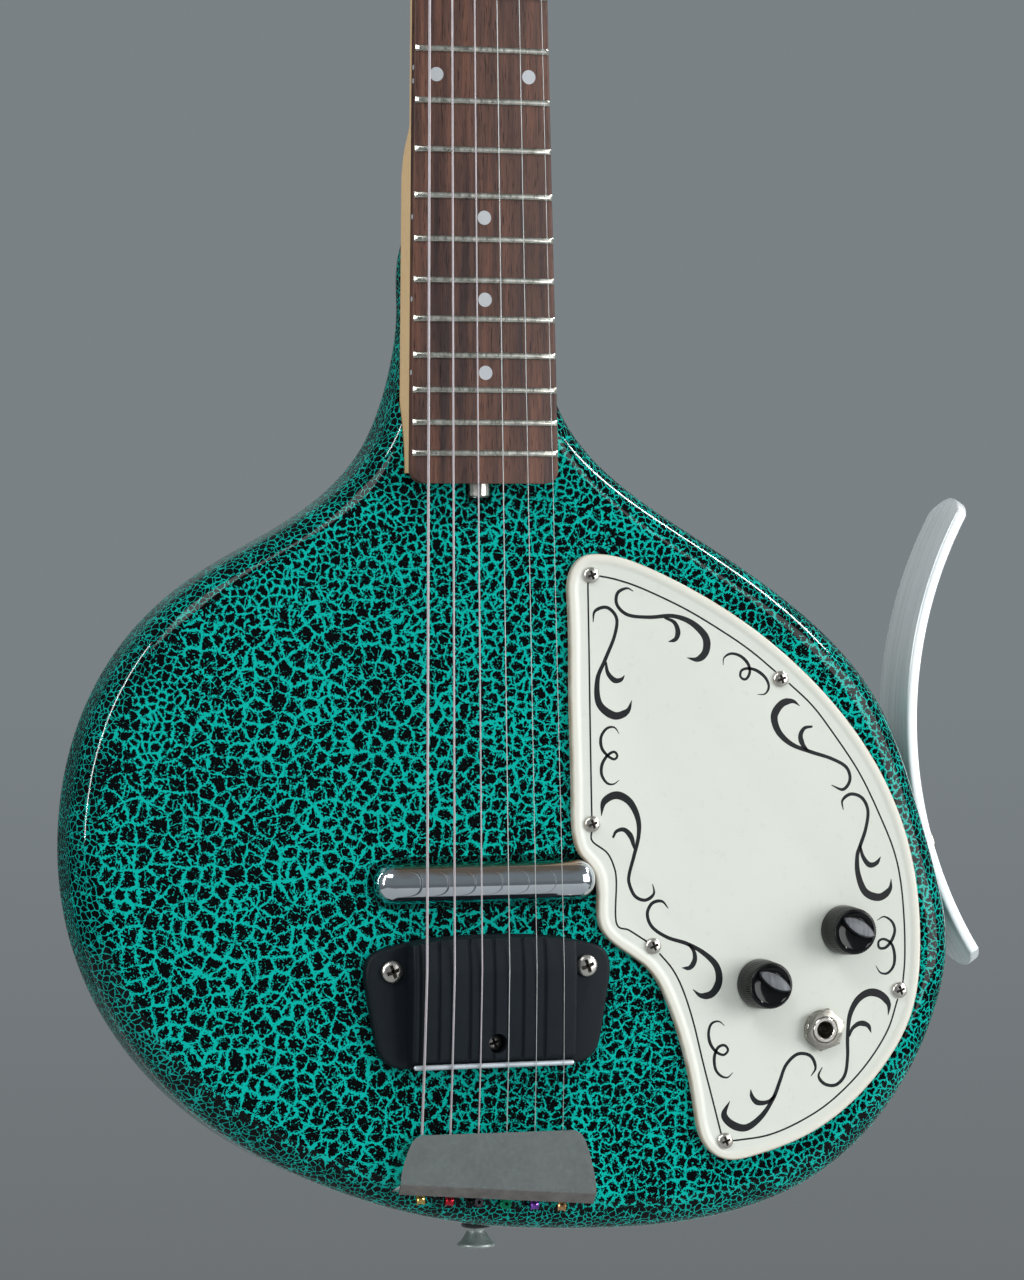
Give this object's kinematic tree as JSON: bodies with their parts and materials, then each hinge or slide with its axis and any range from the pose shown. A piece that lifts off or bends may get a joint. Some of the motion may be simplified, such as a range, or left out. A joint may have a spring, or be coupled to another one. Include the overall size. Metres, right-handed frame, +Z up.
{
  "type": "electric sitar",
  "caption": "Six-string electric sitar: teardrop crackle-lacquered body, bolt-on neck, wide buzzing bridge, capsule pickup, scrolled pickguard and a bowed leg rest.",
  "frame": {"origin": "middle line of the neck at the nut, in the plane of the fretboard's underside", "axes": "+Z up the neck to the headstock, the face looks along -Y, the leg rest is on the +X side"},
  "size_m": [0.3598, 0.072, 0.9128],
  "materials": {
    "crackle_lacquer": "glossy teal crackle over black",
    "maple": "satin clear lacquer, aged",
    "rosewood": "open-grained, oiled",
    "nut_plastic": "smooth",
    "steel": "plain",
    "nickel": "worn nickel",
    "chrome": "polished",
    "cream_plastic": "cream with painted black scrolls",
    "black_gloss_plastic": "glossy, finely ribbed side",
    "black_matte_plastic": "satin black",
    "brushed_aluminium": "brushed along its length",
    "felt": "felt",
    "wound_string": "finely wound",
    "plain_string": "bright wire"
  },
  "bodies": {
    "root": {"body": "crackle_lacquer", "neck": "maple", "fretboard": "rosewood", "nut": "nut_plastic", "truss_rod": "steel", "pickguard": "cream_plastic", "volume_pot": "steel", "tone_pot": "steel", "output_jack": "nickel", "jack_nut": "nickel", "pickup_cover": "chrome", "pickup_core": "black_matte_plastic", "bridge_plate": "black_matte_plastic", "bridge_strip": "steel", "tailpiece": "chrome", "tuner_plate_bass": "nickel", "tuner_plate_treble": "nickel", "leg_rest": "brushed_aluminium", "strap_button_end": "nickel", "strap_button_heel": "nickel", "strap_washer_end": "felt", "neck_screw_1": "nickel", "bridge_screw_1": "nickel", "neck_screw_2": "nickel", "bridge_screw_2": "nickel", "neck_screw_3": "nickel", "bridge_screw_3": "nickel", "tailpiece_screw_1": "nickel", "leg_rest_screw_1": "nickel", "tailpiece_screw_2": "nickel", "leg_rest_screw_2": "nickel", "pickguard_screw_1": "nickel", "string_1": "wound_string", "pickguard_screw_2": "nickel", "string_2": "wound_string", "pickguard_screw_3": "nickel", "string_3": "wound_string", "pickguard_screw_4": "nickel", "string_4": "plain_string", "pickguard_screw_5": "nickel", "string_5": "plain_string", "pickguard_screw_6": "nickel", "string_6": "plain_string"},
    "tuner_key_1": {"tuner_key_1": "nickel"},
    "tuner_post_1": {"tuner_post_1": "nickel"},
    "tuner_key_2": {"tuner_key_2": "nickel"},
    "tuner_post_2": {"tuner_post_2": "nickel"},
    "tuner_key_3": {"tuner_key_3": "nickel"},
    "tuner_post_3": {"tuner_post_3": "nickel"},
    "tuner_key_4": {"tuner_key_4": "nickel"},
    "tuner_post_4": {"tuner_post_4": "nickel"},
    "tuner_key_5": {"tuner_key_5": "nickel"},
    "tuner_post_5": {"tuner_post_5": "nickel"},
    "tuner_key_6": {"tuner_key_6": "nickel"},
    "tuner_post_6": {"tuner_post_6": "nickel"},
    "volume_control": {"volume_knob": "black_gloss_plastic", "volume_shaft": "steel"},
    "tone_control": {"tone_knob": "black_gloss_plastic", "tone_shaft": "steel"},
    "truss_rod_nut": {"truss_rod_nut": "nickel"}
  },
  "joints": [
    {"name": "tuner_key_1_turn", "type": "hinge", "parent": "root", "child": "tuner_key_1", "pos_m": [-0.021, 0.023, 0.0364], "axis": [1, 0, 0], "continuous": true},
    {"name": "tuner_post_1_turn", "type": "hinge", "parent": "root", "child": "tuner_post_1", "pos_m": [-0.021, 0.023, 0.044], "axis": [0, 1, 0], "continuous": true},
    {"name": "tuner_key_2_turn", "type": "hinge", "parent": "root", "child": "tuner_key_2", "pos_m": [-0.021, 0.023, 0.0754], "axis": [1, 0, 0], "continuous": true},
    {"name": "tuner_post_2_turn", "type": "hinge", "parent": "root", "child": "tuner_post_2", "pos_m": [-0.021, 0.023, 0.083], "axis": [0, 1, 0], "continuous": true},
    {"name": "tuner_key_3_turn", "type": "hinge", "parent": "root", "child": "tuner_key_3", "pos_m": [-0.021, 0.023, 0.1144], "axis": [1, 0, 0], "continuous": true},
    {"name": "tuner_post_3_turn", "type": "hinge", "parent": "root", "child": "tuner_post_3", "pos_m": [-0.021, 0.023, 0.122], "axis": [0, 1, 0], "continuous": true},
    {"name": "tuner_key_4_turn", "type": "hinge", "parent": "root", "child": "tuner_key_4", "pos_m": [0.021, 0.023, 0.1144], "axis": [1, 0, 0], "continuous": true},
    {"name": "tuner_post_4_turn", "type": "hinge", "parent": "root", "child": "tuner_post_4", "pos_m": [0.021, 0.023, 0.122], "axis": [0, 1, 0], "continuous": true},
    {"name": "tuner_key_5_turn", "type": "hinge", "parent": "root", "child": "tuner_key_5", "pos_m": [0.021, 0.023, 0.0754], "axis": [1, 0, 0], "continuous": true},
    {"name": "tuner_post_5_turn", "type": "hinge", "parent": "root", "child": "tuner_post_5", "pos_m": [0.021, 0.023, 0.083], "axis": [0, 1, 0], "continuous": true},
    {"name": "tuner_key_6_turn", "type": "hinge", "parent": "root", "child": "tuner_key_6", "pos_m": [0.021, 0.023, 0.0364], "axis": [1, 0, 0], "continuous": true},
    {"name": "tuner_post_6_turn", "type": "hinge", "parent": "root", "child": "tuner_post_6", "pos_m": [0.021, 0.023, 0.044], "axis": [0, 1, 0], "continuous": true},
    {"name": "volume_turn", "type": "hinge", "parent": "root", "child": "volume_control", "pos_m": [0.1419, 0, -0.6248], "axis": [0, -1, 0], "range_deg": [-150, 150]},
    {"name": "tone_turn", "type": "hinge", "parent": "root", "child": "tone_control", "pos_m": [0.108, 0, -0.644], "axis": [0, -1, 0], "range_deg": [-150, 150]},
    {"name": "truss_rod_nut_turn", "type": "hinge", "parent": "root", "child": "truss_rod_nut", "pos_m": [0, 0.005, -0.456], "axis": [0, 0, 1], "range_deg": [-180, 180]}
  ],
  "couplings": [
    {"joint": "tuner_post_1_turn", "follows": "tuner_key_1_turn", "ratio": -0.071429},
    {"joint": "tuner_post_2_turn", "follows": "tuner_key_2_turn", "ratio": -0.071429},
    {"joint": "tuner_post_3_turn", "follows": "tuner_key_3_turn", "ratio": -0.071429},
    {"joint": "tuner_post_4_turn", "follows": "tuner_key_4_turn", "ratio": 0.071429},
    {"joint": "tuner_post_5_turn", "follows": "tuner_key_5_turn", "ratio": 0.071429},
    {"joint": "tuner_post_6_turn", "follows": "tuner_key_6_turn", "ratio": 0.071429}
  ]
}
